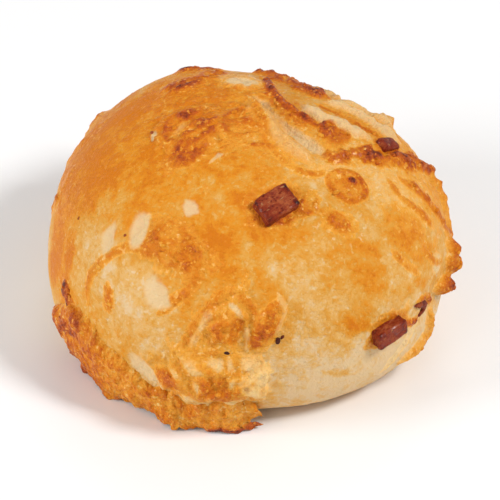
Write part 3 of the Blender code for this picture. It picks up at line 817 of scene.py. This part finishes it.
class Skin:
    """The crust as arrays, in millimetres: its points, and what the cheese does at each."""

    def __init__(self, mesh):
        self.mesh = mesh
        self.points = read(mesh.vertices, "co", 3) / MM
        self.normals = read(mesh.vertices, "normal", 3)
        self.ways = unit(read(mesh.attributes["way"].data, "vector", 3))
        grains = (grain(self.points, size, 11) for size in (FINE, MIDDLING, BROAD))
        self.fine, self.middling, self.broad = grains
        self.tree = kdtree.KDTree(len(self.ways))
        for index, way in enumerate(self.ways):
            self.tree.insert(way, index)
        self.tree.balance()
        blank = np.zeros(len(self.points))
        self.rise, self.toast, self.pale, self.cheese = (blank.copy() for _ in range(4))
        self.shreds, self.streaks, self.calm = (blank.copy() for _ in range(3))
        self.golden = GOLDEN + 0.10 * self.broad
        for place, spread, change in TINTS:
            angle = np.degrees(np.arccos(np.clip(self.ways @ heading(*place), -1, 1)))
            self.golden += change * np.exp(-((angle / spread) ** 2))
        self.above = smooth(0.4, 4.0, self.points[:, 2])

    def at(self, ways):
        """The crust's points and outward normals towards some unit vectors."""
        points, normals = [], []
        for way in ways:
            found = self.tree.find_n(way, 4)
            indices = [index for _, index, _ in found]
            weights = np.array([1 / (gap + 1e-5) for *_, gap in found])
            weights /= weights.sum()
            points.append(weights @ self.points[indices])
            normals.append(weights @ self.normals[indices])
        return np.array(points), unit(np.array(normals))

    def frame(self, place):
        """The point at a place, with the outward, the downhill and the sideways unit vectors there."""
        points, normals = self.at([heading(*place), heading(place[0], place[1] + 1)])
        normal = normals[0]
        down = unit(points[1] - points[0] - normal * ((points[1] - points[0]) @ normal))
        return points[0], normal, down, np.cross(normal, down)

    def uneven(self, middling, fine):
        """The middling and the fine unevenness of the bake, in the given strengths."""
        return middling * self.middling + fine * self.fine

    def lay(self, mask, rise, toast, pale, cheese, shreds=0.0, streaks=0.0, calm=0.0):
        """Adds one thing over what already lies on the crust, each effect given at every point."""
        self.rise += rise * self.above * (1 - 0.5 * smooth(0.3, 2.0, self.rise))
        darker = np.maximum(self.toast, toast * mask)
        self.toast = np.where(toast < 0, self.toast * (1 + toast * mask), darker)
        self.pale = np.maximum(self.pale * (1 - 0.7 * mask), pale * mask)
        self.cheese = np.maximum(self.cheese, cheese * smooth(0.0, 0.45, mask))
        self.shreds = np.maximum(self.shreds, shreds * mask)
        self.streaks = np.maximum(self.streaks, streaks * mask)
        self.calm = np.maximum(self.calm, calm * mask)

    def lay_strand(self, path, width, rise, toast=0.0, pale=0.0, ragged=1.0):
        """A melted shred along a path."""
        spots, _ = self.at(smooth_path(path, 50))
        nearest, share = self.nearest(spots)
        taper = smooth(-0.02, 0.12, share) * smooth(1.02, 0.84, share)
        radius = width / 2 * (1 + ragged * self.uneven(0.34, 0.2)) * (0.45 + 0.55 * taper)
        gap = nearest / np.maximum(radius, 0.2)
        ridge = (1 - smooth(0.0, 1.45, gap)) * (0.4 + 0.6 * taper)
        mask = (1 - smooth(0.55, 1.9, gap)) * (0.6 + 0.4 * taper)
        shade = toast if toast < 0 else toast * (1 + ragged * self.uneven(0.35, 0.4))
        self.lay(mask, rise * ridge * (1 + 0.3 * self.fine), shade, pale, 1.0)

    def nearest(self, spots):
        """How far each of the crust's points is from a line of spots, and how far along it the nearest is."""
        best = np.full(len(self.points), 1e6)
        share = np.zeros(len(self.points))
        steps = len(spots) - 1
        for index in range(steps):
            start, along = spots[index], spots[index + 1] - spots[index]
            offset = self.points - start
            part = np.clip(offset @ along / max(along @ along, 1e-9), 0, 1)
            gap = np.linalg.norm(offset - part[:, None] * along, axis=1)
            closer = gap < best
            best[closer] = gap[closer]
            share[closer] = (index + part[closer]) / steps
        return best, share

    def spread(self, at, turn, size):
        """How far out each point is in a ragged oval, 1 at its edge, and how far it faces the oval's way."""
        centre, normal, down, aside = self.frame(at)
        angle = math.radians(turn)
        long = down * math.cos(angle) + aside * math.sin(angle)
        offset = self.points - centre
        apart = np.hypot(offset @ long / (size[0] / 2), offset @ np.cross(normal, long) / (size[1] / 2))
        ragged = 1 + 0.30 * self.middling + 0.18 * self.fine + 0.1 * self.broad
        return (apart + np.abs(offset @ normal) / 30) * ragged, smooth(0.0, 0.3, self.normals @ normal)

    def stain(self, at, turn, size, change, soft):
        """Dough that baked darker or paler round a place."""
        apart, facing = self.spread(at, turn, size)
        self.golden += change * (1 - smooth(1 - soft, 1 + soft, apart)) * facing * (1 + 0.3 * self.fine)

    def lay_patch(
        self, at, turn, size, rise,
        toast=0.0, pale=0.0, cheese=1.0, rim=0.0, soft=0.45, hollow=0.0, rough=1.0, **more
    ):
        """Cheese spread round a place, its height and shade as rough as given; more goes to lay."""
        apart, facing = self.spread(at, turn, size)
        mask = (1 - smooth(1 - soft, 1 + soft, apart)) * facing
        brim = smooth(0.45, 0.85, apart) * (1 - smooth(1.0, 1.3, apart)) * facing
        body = (1 - smooth(0.5, 1.08, apart)) ** 0.8 * facing
        lift = 1.25 * rise * (body * (1 - hollow) + brim * (0.2 + hollow))
        lift = lift * (1 + rough * self.uneven(0.4, 0.35))
        shade = toast if toast < 0 else toast * (1 + rough * self.uneven(0.45, 0.35)) + rim * brim
        self.lay(mask, lift, shade, pale, cheese, **more)

    def combed(self):
        """The points pulled out of true downhill, so that noise over them runs in streaks."""
        return unit(self.points * (1.0, 1.0, 0.0)) * ROLL_GIRTH + self.points * (0.0, 0.0, 0.35)

    def settle(self):
        """Moves the points out by what lies on them and stores what the finish needs."""
        bumpy = smooth(0.1, 0.5, self.toast)
        micro = BROAD_RELIEF * self.broad
        micro = micro + self.middling * (MIDDLING_RELIEF[0] + MIDDLING_RELIEF[1] * bumpy)
        micro = micro + self.fine * (FINE_RELIEF[0] + FINE_RELIEF[1] * bumpy)
        micro += STREAK_RELIEF * self.streaks * grain(self.combed(), STREAKS_APART, 21, 2)
        self.points = self.points + self.normals * ((self.rise + micro * self.above)[:, None])
        self.points[:, 2] = np.maximum(self.points[:, 2], 0.0)
        self.bubbles = smooth(0.28, 0.6, self.toast) * 0.8 + 0.06 * self.cheese + 0.5 * self.shreds
        self.bubbles *= smooth(-0.3, 0.5, self.middling + 0.4 * self.toast) * self.above * (1 - self.calm)
        kept = ("toast", "pale", "cheese", "golden", "shreds", "streaks", "bubbles")
        fields = {name: np.clip(getattr(self, name), 0, 1) for name in kept}
        finish_mesh(self.mesh, self.points, fields)


def bake_crust(finish):
    """The roll's crust, with the cheese that is one skin with it."""
    sizes = {"Radius": ROLL_RADIUS * MM, "Waist height": WAIST_HEIGHT * MM, "Dome rise": DOME_RISE * MM}
    sizes |= {"Dome fullness": DOME_FULLNESS, "Belly drop": BELLY_DROP * MM, "Belly fullness": BELLY_FULLNESS}
    sizes |= {"Vertices on a side": CRUST_SIDE + 1, "Finish": finish}
    skin = Skin(shaped_by(roll_tree(), sizes, "crust"))
    for stain in STAINS:
        skin.stain(*stain)
    for patch in PATCHES.values():
        skin.lay_patch(**patch)
    for strand in STRANDS.values():
        skin.lay_strand(**strand)
    for spot in PALE_SPOTS:
        skin.lay_patch(*spot, **PALE_SPOT)
    for drop in LIGHT_DROPS:
        skin.lay_patch(*drop, **LIGHT_DROP)
    skin.settle()
    return skin


# ---------------------------------------------------------------- cheese that ran down to the tray


def hang(skin, compass, top, reach, lift):
    """The line that a curtain takes from the crust at top down to its edge: it hugs the crust, then falls."""
    outward = np.array([math.cos(math.radians(compass)), math.sin(math.radians(compass)), 0.0])
    polar = np.linspace(top, LOWEST_POLAR, HUG_STEPS)
    spots, normals = skin.at(heading(np.full(len(polar), compass), polar))
    clear = CLEAR * smooth(0, 5, polar - top) - ROOTED * (1 - smooth(0, 2.5, polar - top))
    spots = spots + normals * clear[:, None]
    edge = outward * reach + np.array([0.0, 0.0, lift])
    above = spots[:, 2] > lift + 1.5
    slope = np.where(above, (spots @ outward - reach) / np.maximum(spots[:, 2] - lift, 0.1), -9.0)
    leave = int(np.argmax(slope))
    fall = spots[leave] + (edge - spots[leave]) * np.linspace(0, 1, FALL_STEPS)[1:, None]
    line = np.concatenate([spots[: leave + 1], fall])
    length = np.concatenate([[0], np.cumsum(np.linalg.norm(np.diff(line, axis=0), axis=1))])
    even = np.linspace(0, length[-1], APRON_ROWS)
    return np.stack([np.interp(even, length, line[:, axis]) for axis in range(3)], -1)


def hang_curtain(skin, along, angle, ring, tops, edge, taper, end, seed):
    """The smooth outer side of a curtain, as columns of points; its far end swings round by the end table."""
    tatters = [grain(ring, size, seed + index) for index, size in enumerate(TATTER_SIZES)]
    reach = np.interp(angle, *edge) - 0.8 + EDGE_TATTERS[0] * tatters[0] + EDGE_TATTERS[1] * tatters[1]
    start = smooth(0.0, taper[0], along) * smooth(1.0, 1 - taper[1], along)
    lift = LOWEST_EDGE + np.abs(tatters[2]) ** 1.5 * RAGGED_LIFT + np.maximum(tatters[3], 0) * WAVY_LIFT
    lift = lift + (1 - start) * np.where(along < 0.5, *END_LIFTS)
    crown = np.interp(angle, *tops) + TOP_TATTERS[0] * tatters[3] + TOP_TATTERS[1] * tatters[1]
    outer = np.array([hang(skin, *column) for column in zip(angle, crown, reach, lift)])
    for _ in range(3):
        outer[1:-1] = (outer[:-2] + outer[1:-1] * 2 + outer[2:]) / 4
    swing = np.interp(np.linspace(0, 1, APRON_ROWS), *end)[None, :] * smooth(0.9, 1.0, along)[:, None]
    turned = np.radians(angle[:, None] + swing)
    far = np.hypot(outer[..., 0], outer[..., 1])
    outer[..., 0], outer[..., 1] = far * np.cos(turned), far * np.sin(turned)
    return outer


def wrap(count, loop):
    """The faces of count closed rings of loop points in a row, with quads across the two end rings."""
    faces = []
    for column in range(count - 1):
        for row in range(loop):
            beside = (row + 1) % loop
            a, b = column * loop + row, column * loop + beside
            faces.append((a, b, b + loop, a + loop))
    for column, order in ((0, -1), (count - 1, 1)):
        for row in range(loop // 2 - 1):
            corners = (row, row + 1, loop - 2 - row, loop - 1 - row)
            faces.append(tuple(column * loop + corner for corner in corners[::order]))
    return faces


def run_apron(name, skin, tops, edge, toast, taper, end, seed):
    """A closed ragged curtain of cheese from the belly of the roll down to the tray."""
    along = np.linspace(0, 1, APRON_COLUMNS)
    angle = tops[0][0] + (tops[0][-1] - tops[0][0]) * along
    around = np.radians(angle)
    ring = np.stack([np.cos(around), np.sin(around), 0 * around], -1) * APRON_RADIUS
    outer = hang_curtain(skin, along, angle, ring, tops, edge, taper, end, seed)
    normal = unit(np.cross(np.gradient(outer, axis=1), np.gradient(outer, axis=0)))
    normal *= np.sign((normal * ring[:, None, :]).sum(-1, keepdims=True))

    flat = outer.reshape(-1, 3)
    combed = np.stack([flat @ (1.0, 0.0, 0.5), flat @ (0.0, 1.0, 0.5), flat[:, 2] * 0.4], -1)
    lumps = sum(high * grain(flat, apart, seed + 4 + turn) for turn, (apart, high) in enumerate(APRON_LUMPS))
    lumps = lumps.reshape(outer.shape[:2])
    fibres = grain(combed, APRON_FIBRES[0], seed + 6).reshape(outer.shape[:2])
    depth = np.linspace(0, 1, APRON_ROWS)[None, :] * np.ones_like(lumps)
    raised = lumps + APRON_FIBRES[1] * fibres + 0.35
    outer = outer + normal * (raised * smooth(0.0, 0.15, depth))[..., None]
    ends = smooth(0.0, 0.04, along) * smooth(1.0, 0.98, along)
    thick = APRON_THICKNESS * (1 - 0.6 * smooth(0.6, 1.0, depth)) * (0.35 + 0.65 * ends[:, None])
    rings = np.concatenate([outer, (outer - normal * thick[..., None])[:, ::-1]], axis=1)
    rings[..., 2] = np.maximum(rings[..., 2], 0.05)

    browned = np.interp(angle, *toast)[:, None] * (1 + 0.4 * fibres + 0.4 * lumps)
    browned = browned + 0.5 * smooth(0.8, 0.97, depth) * smooth(0.72, 0.86, along)[:, None]
    streaks = 0.75 - 0.35 * smooth(0.2, 0.8, along)[:, None]
    bubbles = 0.16 * smooth(0.05, 0.2, depth) * smooth(1.0, 0.9, depth)
    fields = {"toast": browned * smooth(-0.1, 0.2, depth), "cheese": 1.0, "pale": 0.0, "golden": 0.7}
    fields |= {"streaks": streaks, "shreds": 0.0, "bubbles": bubbles}
    for title, values in fields.items():
        front = values * np.ones_like(depth)
        back = 0 * front if title == "bubbles" else front[:, ::-1]
        fields[title] = np.clip(np.concatenate([front, back], axis=1), 0, 1).ravel()
    mesh = new_mesh(name, rings.reshape(-1, 3), wrap(*rings.shape[:2]), fields)
    face_outward(mesh)
    return mesh


def face_outward(mesh):
    """Turns every face of a closed mesh to the outside."""
    work = bmesh.new()
    work.from_mesh(mesh)
    bmesh.ops.recalc_face_normals(work, faces=work.faces)
    work.to_mesh(mesh)
    work.free()


# ---------------------------------------------------------------- half-melted shreds


def strewn_points(graph, skin, field, density, apart, sunk, seed, toast_shift):
    """Points over a skin where its field says, a little sunk, each with the toast there; also their turns.

    toast_shift holds the least and the most added to the toast; on blisters mostly less: painted glints.
    """
    wanted = graph.add("GeometryNodeInputNamedAttribute", {}, {"Name": field})
    strewn = {"Mesh": skin, "Distance Min": apart, "Density Max": density}
    strewn |= {"Density Factor": wanted, "Seed": seed}
    points = graph.add("GeometryNodeDistributePointsOnFaces", {"distribute_method": "POISSON"}, strewn)
    normal, turned = (Value(graph, points.socket.node.outputs[title]) for title in ("Normal", "Rotation"))
    dug = {"Geometry": points, "Offset": normal * (sunk * -1.0)}
    points = graph.add("GeometryNodeSetPosition", inputs=dug)
    toast = graph.add("GeometryNodeInputNamedAttribute", {}, {"Name": "toast"})
    stored = {"Geometry": points, "Name": "toast", "Value": toast + graph.chance(*toast_shift, 3)}
    return graph.add("GeometryNodeStoreNamedAttribute", {}, stored), turned


def lay_out(graph, points, shape, turned, scale):
    """The shape as an instance on each point, turned and scaled."""
    laid = {"Points": points, "Instance": shape, "Rotation": turned, "Scale": scale}
    return graph.add("GeometryNodeInstanceOnPoints", inputs=laid)


def shreds_tree():
    """Geometry Nodes that strew short bent shreds of cheese over a skin, where its shreds field says."""
    kinds = {"Skin": "Geometry", "Apart": "Float", "Length": "Float", "Thickness": "Float", "Sunk": "Float"}
    graph, given = new_tree("half-melted shreds", {**kinds, "Seed": "Int", "Finish": "Material"})
    skin, apart, length, thickness, sunk, seed, finish = given
    points, turned = strewn_points(graph, skin, "shreds", SHRED_DENSITY, apart, sunk, seed, SHRED_TOASTS)

    bow = {"Start": (-0.5, 0.0, -0.1), "Middle": (0.0, 0.22, 0.16), "End": (0.5, 0.0, -0.1)}
    bent = graph.add("GeometryNodeCurveQuadraticBezier", {}, {"Resolution": 8, **bow})
    along = graph.add("GeometryNodeSplineParameter")
    swell = graph.math("SQRT", graph.math("SINE", along * math.pi) + 0.06)
    bent = graph.add("GeometryNodeSetCurveRadius", {}, {"Curve": bent, "Radius": swell})
    loop = graph.add("GeometryNodeCurvePrimitiveCircle", {}, {"Resolution": 8, "Radius": 0.5})
    rod = {"Curve": bent, "Profile Curve": loop, "Fill Caps": True, "Scale": swell}
    shape = graph.add("GeometryNodeCurveToMesh", {}, rod)

    spin = {"Axis": (0.0, 0.0, 1.0), "Angle": graph.chance(0.0, math.tau, 5)}
    spin = graph.add("FunctionNodeAxisAngleToRotation", {}, spin)
    turned = graph.add("FunctionNodeRotateRotation", {"rotation_space": "LOCAL"}, {0: turned, 1: spin})
    long = graph.chance(0.55, 1.3, 7) * length
    wide = graph.chance(0.7, 1.3, 9) * thickness
    laid = lay_out(graph, points, shape, turned, graph.join(long, wide, wide * 0.8))
    return close_tree(graph, laid, finish)


def blisters_tree():
    """Geometry Nodes that raise small round blisters on a skin, where its bubbles field says."""
    kinds = {"Skin": "Geometry", "Apart": "Float", "Across": "Float", "Sunk": "Float"}
    graph, given = new_tree("blisters", {**kinds, "Seed": "Int", "Finish": "Material"})
    skin, apart, across, sunk, seed, finish = given
    # Blisters come out mostly lighter than the crust under them: painted glints.
    points, turned = strewn_points(graph, skin, "bubbles", BLISTER_DENSITY, apart, sunk, seed, BLISTER_PAINTED_GLINT_TOASTS)

    ball = graph.add("GeometryNodeMeshUVSphere", inputs={"Radius": 0.5, **BLISTER_FACETS})
    chance = graph.chance(0.0, 1.0, 8)
    wide = (chance * chance * 0.9 + 0.5) * across
    long = wide * graph.chance(1.0, 1.7, 6)
    laid = lay_out(graph, points, ball, turned, graph.join(long, wide, wide * 0.62))
    return close_tree(graph, laid, finish)


def strew(tree, name, source, finish, seed, **sizes):
    """What a tree strews over the source mesh, as a mesh of its own, a little uneven."""
    inputs = {title.capitalize(): size * MM for title, size in sizes.items()}
    mesh = shaped_by(tree, {**inputs, "Seed": seed, "Finish": finish}, name, source.copy())
    points = read(mesh.vertices, "co", 3) / MM
    normals = read(mesh.vertices, "normal", 3)
    points = points + normals * (0.16 * grain(points, 1.1, seed))[:, None]
    finish_mesh(mesh, points, {})
    return mesh


# ---------------------------------------------------------------- dice of bacon, and specks


def fry_dice(node, seed):
    """A die of bacon from its CAD node: made of fine faces, uneven, with its grain along it."""
    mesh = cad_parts[node].data.copy()
    work = bmesh.new()
    work.from_mesh(mesh)
    bmesh.ops.remove_doubles(work, verts=work.verts, dist=1e-6)
    for _ in range(4):
        long = [edge for edge in work.edges if edge.calc_length() > DICE_FACET * MM]
        bmesh.ops.subdivide_edges(work, edges=long, cuts=1, use_grid_fill=True)
        bmesh.ops.triangulate(work, faces=work.faces)
    every_way = {"use_axis_x": True, "use_axis_y": True, "use_axis_z": True}
    bmesh.ops.smooth_vert(work, verts=work.verts, factor=0.5, **every_way)
    bmesh.ops.recalc_face_normals(work, faces=work.faces)
    clean = bpy.data.meshes.new("fried_" + node)
    work.to_mesh(clean)
    work.free()
    points = read(clean.vertices, "co", 3) / MM
    normals = read(clean.vertices, "normal", 3)
    centre = points.mean(axis=0)
    _, _, axes = np.linalg.svd(points - centre, full_matrices=False)
    local = (points - centre) @ axes.T
    reach = np.abs(local).max(axis=0)
    _, ridge, corner = np.sort(np.abs(local) / reach, axis=1).T[::-1]
    fibre = grain(local * np.array([0.3, 1.0, 1.0]), 0.9, seed)
    points = points + normals * (DICE_UNEVEN * grain(points, 2.2, seed) + DICE_FIBRE * fibre)[:, None]
    stored = clean.attributes.new("grain", "FLOAT_VECTOR", "POINT")
    stored.data.foreach_set("vector", (local * MM * np.array([0.3, 1, 1]) + seed).astype(np.float32).ravel())
    edges = 0.45 * smooth(0.72, 0.98, ridge) + 0.35 * smooth(0.5, 0.9, corner)
    charred = 0.26 + edges * (1 + 0.8 * grain(points, 1.8, seed + 2)) + 0.18 * grain(points, 2.4, seed + 1)
    finish_mesh(clean, points, {"charred": np.clip(charred, 0, 1)})
    return clean


def crumb(skin, seed, place, length, width, height, darkness):
    """One crumb as points, faces and darkness, sunk a little into the crust."""
    centre, normal, down, aside = skin.frame(place)
    lift = skin.rise[skin.tree.find(heading(*place))[1]]
    ball = bmesh.new()
    bmesh.ops.create_icosphere(ball, subdivisions=3, radius=0.5)
    shape = np.array([vertex.co[:] for vertex in ball.verts])
    faces = [tuple(vertex.index for vertex in face.verts) for face in ball.faces]
    ball.free()
    shape *= 1 + SPECK_ROUGH * grain(shape, 0.5, seed * 7)[:, None]
    shape = shape * np.array([length, width, height])
    spun = math.radians(seed * 77)
    long = down * math.cos(spun) + aside * math.sin(spun)
    axes = np.stack([long, np.cross(normal, long), normal])
    points = centre + normal * (lift + height * SPECK_OUT) + shape @ axes
    return points, faces, np.full(len(shape), darkness)


def bacon_shred(skin, path, width, darkness):
    """One bent shred of bacon as points, faces and darkness: a tube that swells in its middle."""
    ways = smooth_path(path, BACON_RINGS)
    spots, normals = skin.at(ways)
    lifts = skin.rise[[skin.tree.find(way)[1] for way in ways]]
    lifts = np.convolve(np.pad(lifts, 4, "edge"), np.full(9, 1 / 9), "valid")
    spots = spots + normals * (lifts + width * BACON_OUT)[:, None]
    aside = unit(np.cross(np.gradient(spots, axis=0), normals))
    turn = np.linspace(0, math.tau, BACON_CORNERS, endpoint=False)[None, :, None]
    swell = np.sqrt(np.sin(np.linspace(0.02, math.pi - 0.02, BACON_RINGS)))[:, None, None] * width / 2
    tube = spots[:, None] + (aside[:, None] * np.cos(turn) + normals[:, None] * np.sin(turn) * 0.8) * swell
    tube = tube.reshape(-1, 3)
    outward = unit(tube - np.repeat(spots, BACON_CORNERS, axis=0))
    dark = np.full(len(tube), darkness) + 0.3 * grain(tube, 1.5, 8)
    faces = wrap(BACON_RINGS, BACON_CORNERS)
    return tube + BACON_ROUGH * grain(tube, 0.9, 31)[:, None] * outward, faces, dark


def drop_specks(skin):
    """Browned crumbs and shreds of bacon and specks of pepper, as one mesh."""
    parts = [crumb(skin, index, *row) for index, row in enumerate(SPECKS)]
    parts += [bacon_shred(skin, *row) for row in BACON_SHREDS]
    faces, start = [], 0
    for points, corners, _ in parts:
        faces += [tuple(start + corner for corner in face) for face in corners]
        start += len(points)
    points, _, dark = zip(*parts)
    mesh = new_mesh("specks", np.concatenate(points), faces, {"dark": np.concatenate(dark)})
    face_outward(mesh)
    return mesh


# ---------------------------------------------------------------- finishes


def new_finish(name, roughness, subsurface=0.0, coat_roughness=0.03):
    """A material, its graph and its shader, with what doesn't vary set on the shader's sockets."""
    made = bpy.data.materials.new(name)
    made.use_nodes = True
    shader = made.node_tree.nodes["Principled BSDF"]
    shader.inputs["Roughness"].default_value = roughness
    shader.inputs["Subsurface Weight"].default_value = subsurface
    shader.inputs["Subsurface Radius"].default_value = GLOW_RADII
    shader.inputs["Subsurface Scale"].default_value = GLOW_DEPTH * MM
    shader.inputs["Specular IOR Level"].default_value = SHEEN
    shader.inputs["Coat Roughness"].default_value = coat_roughness
    return made, Graph(made.node_tree), shader


def drive(graph, shader, **links):
    """Links values to the shader's sockets, named with _ for a space."""
    for title, value in links.items():
        graph.tree.links.new(value.socket, shader.inputs[title.replace("_", " ")])


def bump(graph, height, depth):
    """Fine relief, depth millimetres from a height of 0 to one of 1."""
    return graph.add("ShaderNodeBump", {}, {"Height": height, "Distance": depth * MM}, "Normal")


def crust_finish():
    """Baked dough and the cheese over it: milky to amber dough, yellow to dark brown cheese."""
    made, graph, shader = new_finish("baked crust", 0.5, 0.12, 0.28)
    where = graph.add("ShaderNodeTexCoord", output="Object")
    golden, toast = graph.attribute("golden"), graph.attribute("toast")
    cheese, pale = graph.attribute("cheese"), graph.attribute("pale")
    broad = graph.noise(where, 12.0, 3.0) - 0.5
    patchy = graph.noise(where, 5.0, 4.0, 0.65, 0.2) - 0.5
    mottle = graph.noise(where, 2.0, 4.0, 0.65, 0.2) - 0.5
    fine = graph.noise(where, 0.9, 3.0, 0.6) - 0.5
    # Pale flecks: a paler grain on bare dough, and painted glints on the cheese.
    flecks_and_painted_glints = graph.step(0.60, 0.70, graph.noise(where, 1.1, 1.0))
    baked = golden + broad * 0.6 + patchy * 1.3 + mottle * 0.9 + fine * 0.4 - flecks_and_painted_glints * 0.2
    dough = graph.ramp(baked, DOUGH_STOPS)
    x, y, _ = graph.parts(where)
    downhill = graph.unit(graph.join(x, y, 0.0)) * (ROLL_GIRTH * MM) + where * (0.0, 0.0, 0.4)
    combed = (graph.noise(downhill, 1.6, 3.0, 0.6, 0.7) - 0.5) * graph.attribute("streaks")
    base = graph.math("MAXIMUM", toast, golden * (0.4 - pale * 0.3))
    uneven = (patchy + mottle) * (base * base * 1.6 + 0.15) + fine * (base * 0.7 + 0.1)
    # The cheese is lighter at the flecks: painted glints.
    shade = base + (uneven - flecks_and_painted_glints * (base * 0.5)) + combed * 1.1
    melted = graph.ramp(shade, CHEESE_STOPS)
    cover = graph.step(0.25, 0.75, cheese + mottle * 0.5 + fine * 0.3)
    colour = graph.blend(dough, melted, cover)
    milky = graph.step(0.1, 0.9, pale + mottle * 0.5 - combed * 1.6) * MILKY_SHARE
    colour = graph.blend(colour, MILKY, milky)
    roughness = 0.48 - cover * 0.1 + fine * 0.2 - flecks_and_painted_glints * 0.1
    height = patchy * 0.5 + mottle * 0.6 + fine * (0.45 + cover * 0.35) - combed * 0.5
    height = height + graph.noise(where, 0.45, 2.0) * 0.1
    coat = graph.clamp(toast * 0.35 + mottle * 0.6 + flecks_and_painted_glints * 0.3 - 0.1)
    relief = bump(graph, height, 0.9)
    drive(graph, shader, Base_Color=colour, Roughness=roughness, Coat_Weight=coat, Normal=relief)
    return made


def bacon_finish():
    """Fried bacon: red-brown meat with its grain, charred edges and a little light fat."""
    made, graph, shader = new_finish("fried bacon", 0.4, 0.05, 0.18)
    where = graph.add("ShaderNodeTexCoord", output="Object")
    along = graph.attribute("grain", "Vector")
    fibre = graph.noise(along, 0.6, 4.0, 0.6) - 0.5
    lumps = graph.noise(where, 1.5, 4.0, 0.7) - 0.5
    # Dark specks in the meat.
    flecks_and_painted_glints = graph.step(0.60, 0.72, graph.noise(where, 0.6, 2.0))
    shade = graph.attribute("charred") + fibre * 0.3 + lumps * 1.2 + flecks_and_painted_glints * 0.35
    colour = graph.ramp(shade, BACON_STOPS)
    fat = graph.step(0.62, 0.72, graph.noise(along, 0.9, 3.0, 0.5, 0.6))
    colour = graph.blend(colour, FAT, fat * 0.6)
    roughness = 0.48 + fibre * 0.4
    height = fibre * 0.6 + lumps + flecks_and_painted_glints * 0.2
    coat = graph.clamp(0.1 + lumps * 2.6)
    relief = bump(graph, height, 0.8)
    drive(graph, shader, Base_Color=colour, Roughness=roughness, Coat_Weight=coat, Normal=relief)
    return made


def speck_finish():
    """Crumbs of bacon and pepper, from red-brown to nearly black."""
    made, graph, shader = new_finish("browned specks", 0.5)
    where = graph.add("ShaderNodeTexCoord", output="Object")
    grainy = graph.noise(where, 0.5, 3.0) - 0.5
    colour = graph.ramp(graph.attribute("dark") + grainy * 0.5, SPECK_STOPS)
    drive(graph, shader, Base_Color=colour, Roughness=0.5 + grainy * 0.4, Normal=bump(graph, grainy, 0.3))
    return made


def floor_finish():
    """Plain and nearly white."""
    made, _, shader = new_finish("pale floor", 0.6)
    shader.inputs["Base Color"].default_value = FLOOR
    return made


# ---------------------------------------------------------------- the studio


def hang_lamp(name, place, width, watts):
    """A round soft lamp that shines at the middle of the roll."""
    lamp = bpy.data.lights.new(name, "AREA")
    lamp.shape, lamp.size, lamp.energy = "DISK", width, watts
    holder = bpy.data.objects.new(name, lamp)
    holder.location = place
    holder.rotation_euler = (Vector(LAMP_AIM) - Vector(place)).to_track_quat("-Z", "Y").to_euler()
    bpy.context.scene.collection.objects.link(holder)


def lay_floor():
    """The pale floor that the roll stands on."""
    mesh = bpy.data.meshes.new("floor")
    corners = [(x * FLOOR_REACH, y * FLOOR_REACH, 0) for x, y in ((-1, -1), (1, -1), (1, 1), (-1, 1))]
    mesh.from_pydata(corners, [], [(0, 1, 2, 3)])
    mesh.materials.append(floor_finish())
    floor = bpy.data.objects.new("floor", mesh)
    bpy.context.scene.collection.objects.link(floor)


def place_camera():
    """The camera, at the height and distance given, with a long lens."""
    aim = Vector(CAMERA_AIM) * MM
    elevation = math.radians(CAMERA_ELEVATION)
    eye = bpy.data.objects.new("camera", bpy.data.cameras.new("camera"))
    eye.location = aim + Vector((0, -math.cos(elevation), math.sin(elevation))) * CAMERA_DISTANCE
    eye.rotation_euler = (aim - eye.location).to_track_quat("-Z", "Y").to_euler()
    eye.data.lens, eye.data.sensor_width = CAMERA_LENS, CAMERA_SENSOR
    bpy.context.scene.collection.objects.link(eye)
    bpy.context.scene.camera = eye


def studio():
    """A plain pale floor under a soft white sky, four lamps and the camera."""
    lay_floor()
    world = bpy.data.worlds.new("studio")
    world.use_nodes = True
    world.node_tree.nodes["Background"].inputs["Color"].default_value = WHITE
    world.node_tree.nodes["Background"].inputs["Strength"].default_value = SKY
    bpy.context.scene.world = world
    for lamp in LAMPS:
        hang_lamp(*lamp)
    place_camera()
    bpy.context.scene.view_settings.view_transform = "Standard"


# ---------------------------------------------------------------- the roll put together


def main():
    """Makes the finishes, the skins, what lies on them, the dice and the specks, then the studio."""
    crust, bacon, speck = crust_finish(), bacon_finish(), speck_finish()
    skin = bake_crust(crust)
    pieces = [new_piece(skin.mesh, "crust", crust, "bread_roll")]
    for name, sizes in APRONS.items():
        mesh = run_apron(name.replace(" ", "_"), skin, **sizes)
        pieces.append(new_piece(mesh, "crust", crust))
    skins = [piece.data for piece in pieces]
    mesh = strew(shreds_tree(), "melted_shreds", skin.mesh, crust, SHRED_SEED, **SHRED_SIZES)
    new_piece(mesh, "crust", crust)
    for source in skins:
        mesh = strew(blisters_tree(), source.name + "_blisters", source, crust, BLISTER_SEED, **BLISTER_SIZES)
        new_piece(mesh, "crust", crust)
    for index in range(1, DICE_COUNT + 1):
        node = f"bacon_dice_{index}"
        new_piece(fry_dice(node, index * 5), "bacon", bacon, node)
    new_piece(drop_specks(skin), "bacon", speck)
    studio()


main()
